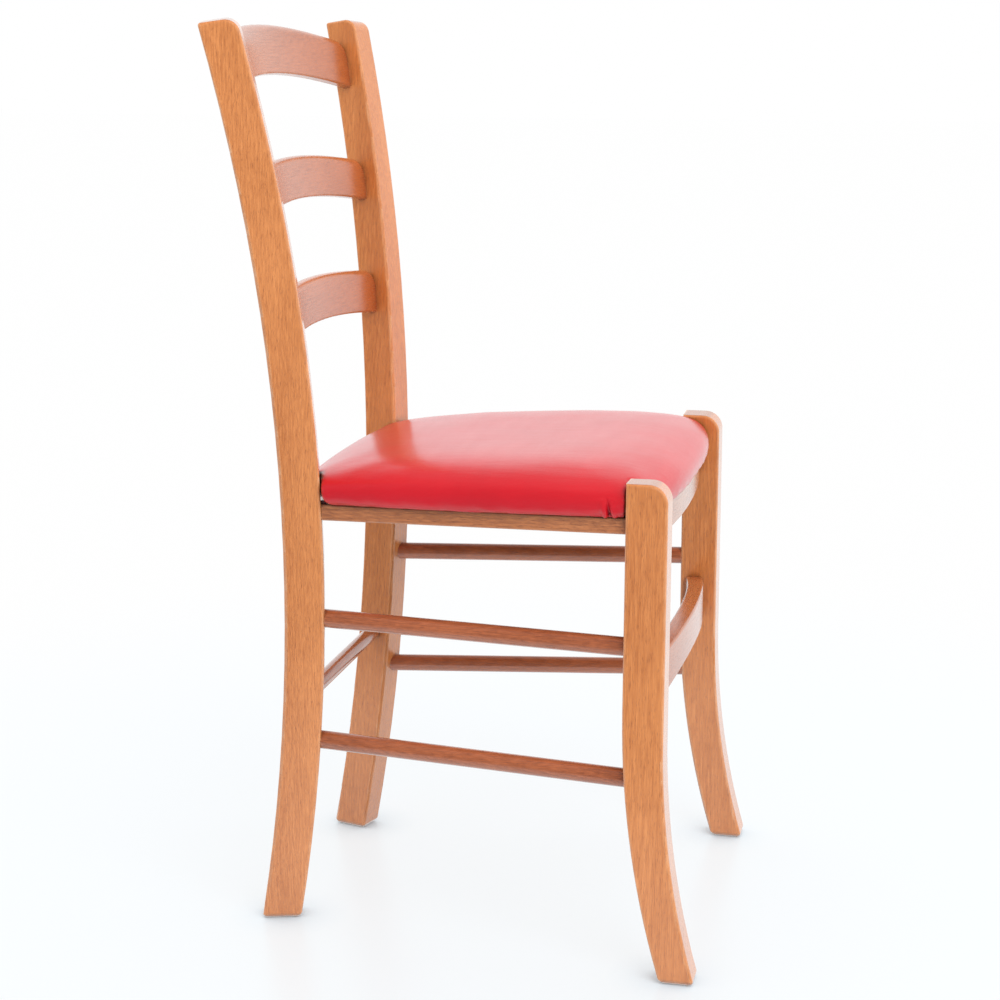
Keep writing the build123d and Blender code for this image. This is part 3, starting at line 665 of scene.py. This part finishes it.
def finishPad(piece):
    built = bmesh.new()
    built.from_mesh(piece.data)
    # more points where the skin is tucked in beside the front legs
    near = {edge for vert in built.verts if besideLeg(vert) for edge in vert.link_edges}
    near = sorted(near, key=lambda edge: edge.index)
    bmesh.ops.subdivide_edges(built, edges=near, cuts=legTuck["finerCuts"], use_grid_fill=True)
    for vert in built.verts:
        vert.co += seatToChair.to_3x3() @ cornerLift(chairToSeat @ vert.co)
    built.normal_update()
    for vert in built.verts:
        vert.co += vert.normal * skinPull(chairToSeat @ vert.co)
    built.to_mesh(piece.data)
    built.free()
    for face in piece.data.polygons:
        face.use_smooth = True


# leatherette: fine embossed grain, faint brush and stretch marks, and painted shade, a darker tone in the folds and
# hollows
redHide = {
    "bright": (0.65, 0.003, 0.013, 1), "dark": (0.53, 0.002, 0.010, 1), "foldShadeTone": (0.10, 0.002, 0.004, 1),
    "foldRadius": 0.002, "foldShadeReach": 0.010,
    "clouds": 11.0, "cloudGain": 0.9, "stretch": (14, 55, 30), "stretchGain": 0.5,
    "grain": 0.0011, "pitEdge": 0.22, "creases": 420.0, "creaseShare": 0.7,
    "depth": 0.00008, "grainStrength": 0.35,
    "brushMarks": (75, 13, 60), "brush": 0.0006, "brushStrength": 0.8,
    "rough": 0.34, "stretchRough": 0.12, "specular": 0.2, "coat": 1.0, "coatRoughness": 0.22,
}


def leatherette():
    hide = redHide
    material, tree, shader = newMaterial("redLeatherette")
    coords = objectCoords(tree, (-1400, 0))
    pebble = put(tree, "TexVoronoi", (-1000, -200), {"feature": "DISTANCE_TO_EDGE"},
                 Vector=coords, Scale=1 / hide["grain"], Randomness=1.0)
    crease = evenNoise(tree, (-1000, -500), coords, hide["creases"], Detail=4.0, Roughness=0.6)
    stretch = drawnNoise(tree, (-1000, 200), coords, hide["stretch"], Detail=3.0)
    cloud = evenNoise(tree, (-1000, 450), coords, hide["clouds"], Detail=2.0)
    tone = sums(tree, (-800, 200), "MULTIPLY_ADD", stretch, hide["stretchGain"], -0.5)
    tone = sums(tree, (-600, 350), "MULTIPLY_ADD", cloud, hide["cloudGain"], tone)
    colour = mixColour(tree, (-500, 300), tone, hide["bright"], hide["dark"])
    # painted shade: ambient occlusion darkens the colour in folds and hollows
    foldShade = place(tree, wearHighlightShadeMarks, (-700, 600), Radius=hide["foldRadius"], Reach=hide["foldShadeReach"])
    colour = mixColour(tree, (-200, 300), foldShade["CornerShade"], colour, hide["foldShadeTone"])
    brushed = drawnNoise(tree, (-1000, -750), coords, hide["brushMarks"], Detail=5.0, Roughness=0.7)
    pit = spread(tree, (-700, -200), pebble.outputs[0], 0.0, hide["pitEdge"], 0.0, 1.0, True)
    height = sums(tree, (-400, -300), "MULTIPLY_ADD", crease, hide["creaseShare"], pit)
    rough = sums(tree, (-300, -50), "MULTIPLY_ADD", stretch, hide["stretchRough"], hide["rough"])
    sweep = put(tree, "Bump", (0, -500), Strength=hide["brushStrength"], Distance=hide["brush"], Height=brushed)
    bump = put(tree, "Bump", (200, -300), Strength=hide["grainStrength"], Distance=hide["depth"],
               Height=height, Normal=sweep.outputs[0])
    surface(tree, shader, colour, rough, bump)
    shader.inputs["Specular IOR Level"].default_value = hide["specular"]
    shader.inputs["Coat Weight"].default_value = hide["coat"]
    shader.inputs["Coat Roughness"].default_value = hide["coatRoughness"]
    return material


padPiece = padBlank()
swellPad(padPiece)
notchPad(padPiece)
finishPad(padPiece)
padPiece.data.materials.clear()
padPiece.data.materials.append(leatherette())
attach(padPiece, "root")
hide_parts("seat_cover", "seat_foam")
print("seat pad covered")


# dust cover: non-woven cloth tacked under the board
dustCloth = {
    "rearHalf": 0.122, "frontHalf": 0.156, "back": 0.146, "ahead": -0.139,
    "sideBow": 0.0057, "frontBow": 0.0123, "rearBow": 0.0033, "cornerIn": 0.16,
    "level": -0.0009, "sag": 0.004, "ripple": 0.0003, "thick": 0.0006, "columns": 60, "rows": 56,
    "fibre": (0.028, 0.028, 0.031, 1), "bond": (0.012, 0.012, 0.014, 1), "dot": 0.0022, "dotStray": 0.15,
    "hair": 1500.0, "depth": 0.0003, "strength": 0.5, "specular": 0.2,
}


def dustPoint(u, v):
    cloth = dustCloth
    # the square grid is drawn in at its corners
    cu = u * sqrt(1 - cloth["cornerIn"] * v * v * abs(u) ** 6 * v ** 6)
    cv = v * sqrt(1 - cloth["cornerIn"] * u * u * abs(v) ** 6 * u ** 6)
    half = cloth["rearHalf"] + (cloth["frontHalf"] - cloth["rearHalf"]) * (1 - cv) / 2
    x = cu * (half + cloth["sideBow"] * (1 - cv * cv))
    rear = cloth["back"] + cloth["rearBow"] * (1 - cu * cu)
    fore = cloth["ahead"] + cloth["frontBow"] * cu * cu
    y = fore + (rear - fore) * (cv + 1) / 2
    slack = (1 - u ** 4) * (1 - v ** 4)
    ripple = cloth["ripple"] * sin(11 * u + 3 * v) * sin(9 * v - 2 * u) * slack
    return seatToChair @ Vector((x, y, cloth["level"] - cloth["sag"] * slack + ripple))


def dustSheet():
    columns, rows = dustCloth["columns"], dustCloth["rows"]
    built = bmesh.new()
    grid = []
    for row in range(rows + 1):
        v = 2 * row / rows - 1
        grid.append([built.verts.new(dustPoint(2 * column / columns - 1, v)) for column in range(columns + 1)])
    for low, high in zip(grid, grid[1:]):
        for a, b, c, d in zip(low, low[1:], high[1:], high):
            built.faces.new((a, d, c, b)).smooth = True
    piece = newPiece("dust_cloth", meshFrom(built, "dustCoverCloth"))
    thick = piece.modifiers.new("thick", "SOLIDIFY")
    thick.thickness = dustCloth["thick"]
    thick.offset = 0
    return piece


def feltBlack():
    cloth = dustCloth
    material, tree, shader = newMaterial("dustCloth")
    coords = objectCoords(tree, (-1200, 0))
    bonds = put(tree, "TexVoronoi", (-800, 0), {"feature": "F1"},
                Vector=coords, Scale=1 / cloth["dot"], Randomness=cloth["dotStray"])
    hair = evenNoise(tree, (-800, -300), coords, cloth["hair"], Detail=3.0)
    mask = spread(tree, (-500, 0), bonds.outputs["Distance"], 0.2, 0.35, 1.0, 0.0, True)
    colour = mixColour(tree, (-200, 100), mask, cloth["fibre"], cloth["bond"])
    rough = spread(tree, (-200, -150), hair, 0.2, 0.8, 0.82, 1.0)
    height = sums(tree, (-300, -300), "MULTIPLY_ADD", mask, -0.6, hair)
    bump = put(tree, "Bump", (200, -300), Strength=cloth["strength"], Distance=cloth["depth"], Height=height)
    surface(tree, shader, colour, rough, bump)
    shader.inputs["Specular IOR Level"].default_value = cloth["specular"]
    return material


dust = dustSheet()
dust.data.materials.append(feltBlack())
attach(dust, "root")
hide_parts("dust_cover")
print("dust cover tacked on")


# studio floor: pale, mostly self-lit to the camera, with the chair's shadow left in it and a painted contact shadow at
# the feet
white = (1, 1, 1, 1)
dimSide = 0.10  # how much of the white the camera's side of the room shows to glossy faces
studioFloor = {
    "half": 20.0, "drop": 0.0003, "colour": (0.64, 0.77, 0.86, 1),
    "glowNear": 0.80, "glowFar": 1.0, "nearReach": 0.45, "farReach": 1.4,
    "contactShadeReach": 0.05, "contactFull": 0.45, "contactClear": 0.97, "contactGlow": 0.25,
    "dimFrom": -0.20, "dimTo": -1.0, "polish": 0.08, "polishRough": 0.3,
}


def mirroredRays(tree, at, path):
    return sums(tree, at, "ADD", path["Is Glossy Ray"], path["Is Transmission Ray"], clamp=True)


def paleFloor():
    ground = studioFloor
    half, level = ground["half"], -ground["drop"]
    mesh = bpy.data.meshes.new("studioFloor")
    corners = [(-half, -half, level), (half, -half, level), (half, half, level), (-half, half, level)]
    mesh.from_pydata(corners, [], [(0, 1, 2, 3)])
    floor = newPiece("studio_floor", mesh)
    material = bpy.data.materials.new("paleFloor")
    material.use_nodes = True
    tree = material.node_tree
    tree.nodes.clear()
    path = put(tree, "LightPath", (-1100, 400)).outputs
    toCamera = path["Is Camera Ray"]
    mirrored = mirroredRays(tree, (-900, 400), path)
    onFloor = objectCoords(tree, (-1300, 100))
    away = put(tree, "VectorMath", (-1100, 100), {"operation": "LENGTH"})
    feed(tree, onFloor, away.inputs[0])
    glowShare = spread(tree, (-900, 100), away.outputs["Value"], ground["nearReach"], ground["farReach"],
                       ground["glowNear"], ground["glowFar"], True)
    # less glow where the feet stand: ambient occlusion paints a darker contact shadow there
    contactShade = put(tree, "AmbientOcclusion", (-1100, 700), {"samples": 8}, Distance=ground["contactShadeReach"]).outputs["AO"]
    contactShade = spread(tree, (-900, 700), contactShade, ground["contactFull"], ground["contactClear"], ground["contactGlow"], 1.0)
    glowShare = sums(tree, (-700, 600), "MULTIPLY", glowShare, contactShade)
    shown = sums(tree, (-700, 300), "MULTIPLY_ADD", toCamera, glowShare, mirrored)
    # the room on the camera's side is dark, and glossy faces that look that way show it
    toSide = put(tree, "SeparateXYZ", (-1100, -200), Vector=onFloor).outputs["X"]
    dark = spread(tree, (-900, -200), toSide, ground["dimTo"], ground["dimFrom"], dimSide, 1.0, True)
    matt = put(tree, "BsdfDiffuse", (-300, 0), Color=ground["colour"]).outputs[0]
    strength = sums(tree, (-600, -200), "MAXIMUM", dark, toCamera)
    glow = put(tree, "Emission", (-300, -200), Color=white, Strength=strength).outputs[0]
    lit = mixShaders(tree, (100, 0), shown, matt, glow)
    polish = put(tree, "BsdfAnisotropic", (100, -200), Color=white, Roughness=ground["polishRough"]).outputs[0]
    polished = sums(tree, (100, 200), "MULTIPLY", toCamera, ground["polish"])
    faced = mixShaders(tree, (300, 0), polished, lit, polish)
    feed(tree, faced, put(tree, "OutputMaterial", (500, 0)).inputs[0])
    mesh.materials.append(material)


# surround: white to the camera; to glossy faces white beyond the chair, dim overhead and on the camera's side
surround = {
    "fill": 0.75, "fillAbove": 1.12, "fillFrom": 0.1, "fillTo": 0.9,
    "backdropGain": 1.4, "backdropFrom": -0.5, "backdropTo": 0.6,
    "wallFrom": -0.75, "wallTo": 0.05, "ceiling": 0.30, "ceilingFrom": 0.35, "ceilingTo": 0.9,
}


def whiteSurround():
    room = surround
    world = bpy.data.worlds.new("whiteSurround")
    scene.world = world
    world.use_nodes = True
    tree = world.node_tree
    tree.nodes.clear()
    path = put(tree, "LightPath", (-1100, 400)).outputs
    way = put(tree, "TexCoord", (-1100, 0)).outputs["Generated"]
    toSky = put(tree, "SeparateXYZ", (-900, 0), Vector=way).outputs
    wall = spread(tree, (-900, -350), toSky["X"], room["wallFrom"], room["wallTo"], dimSide, 1.0, True)
    # the ceiling is darker than the lit backdrop
    ceiling = spread(tree, (-900, -550), toSky["Z"], room["ceilingFrom"], room["ceilingTo"], 1.0, room["ceiling"], True)
    wall = sums(tree, (-700, -350), "MULTIPLY", wall, ceiling)
    mirrored = mirroredRays(tree, (-700, 300), path)
    sky = spread(tree, (-700, 150), toSky["Z"], room["fillFrom"], room["fillTo"], room["fill"], room["fillAbove"], True)
    # the lit backdrop beyond the chair gives more light than the room
    backdrop = spread(tree, (-700, -150), toSky["X"], room["backdropFrom"], room["backdropTo"],
                      1.0, room["backdropGain"], True)
    strength = sums(tree, (-500, 200), "MULTIPLY", sky, backdrop)
    fill = put(tree, "Background", (-300, 200), Color=white, Strength=strength).outputs[0]
    walls = put(tree, "Background", (-300, 0), Color=white, Strength=wall).outputs[0]
    plain = put(tree, "Background", (-300, -200), Color=white, Strength=1.0).outputs[0]
    lit = mixShaders(tree, (0, 100), mirrored, fill, walls)
    shown = mixShaders(tree, (200, 0), path["Is Camera Ray"], lit, plain)
    feed(tree, shown, put(tree, "OutputWorld", (400, 0)).inputs[0])


# one soft lamp, high on the camera's side and towards the chair's front
lampSetup = {"power": 40.0, "size": 1.8, "at": (-1.8, -1.5, 2.5), "aim": (0.0, 0.0, 0.4)}


def softLamp():
    lamp = bpy.data.lights.new("softLamp", "AREA")
    lamp.energy = lampSetup["power"]
    lamp.size = lampSetup["size"]
    holder = newPiece("soft_lamp", lamp)
    holder.location = lampSetup["at"]
    holder.visible_glossy = False
    aim = Vector(lampSetup["aim"]) - Vector(lampSetup["at"])
    holder.rotation_euler = aim.to_track_quat("-Z", "Y").to_euler()


paleFloor()
whiteSurround()
softLamp()


# camera where the photograph was taken from
viewpoint = {
    "at": (-2.02563, -0.47248, 0.86860), "yaw": 0.2286, "pitch": 0.21776,
    "lens": 76.073, "sensor": 36.0, "shift": (0.00684, 0.00019), "nearest": 0.05, "farthest": 60.0,
}


def photoCamera():
    camera = bpy.data.cameras.new("photoCamera")
    camera.sensor_width = viewpoint["sensor"]
    camera.lens = viewpoint["lens"]
    camera.shift_x, camera.shift_y = viewpoint["shift"]
    camera.clip_start, camera.clip_end = viewpoint["nearest"], viewpoint["farthest"]
    holder = newPiece("photo_camera", camera)
    yaw, pitch = viewpoint["yaw"], viewpoint["pitch"]
    ahead = Vector((cos(yaw) * cos(pitch), sin(yaw) * cos(pitch), -sin(pitch)))
    holder.location = viewpoint["at"]
    holder.rotation_euler = ahead.to_track_quat("-Z", "Y").to_euler()
    scene.camera = holder


photoCamera()
print("studio and camera set")
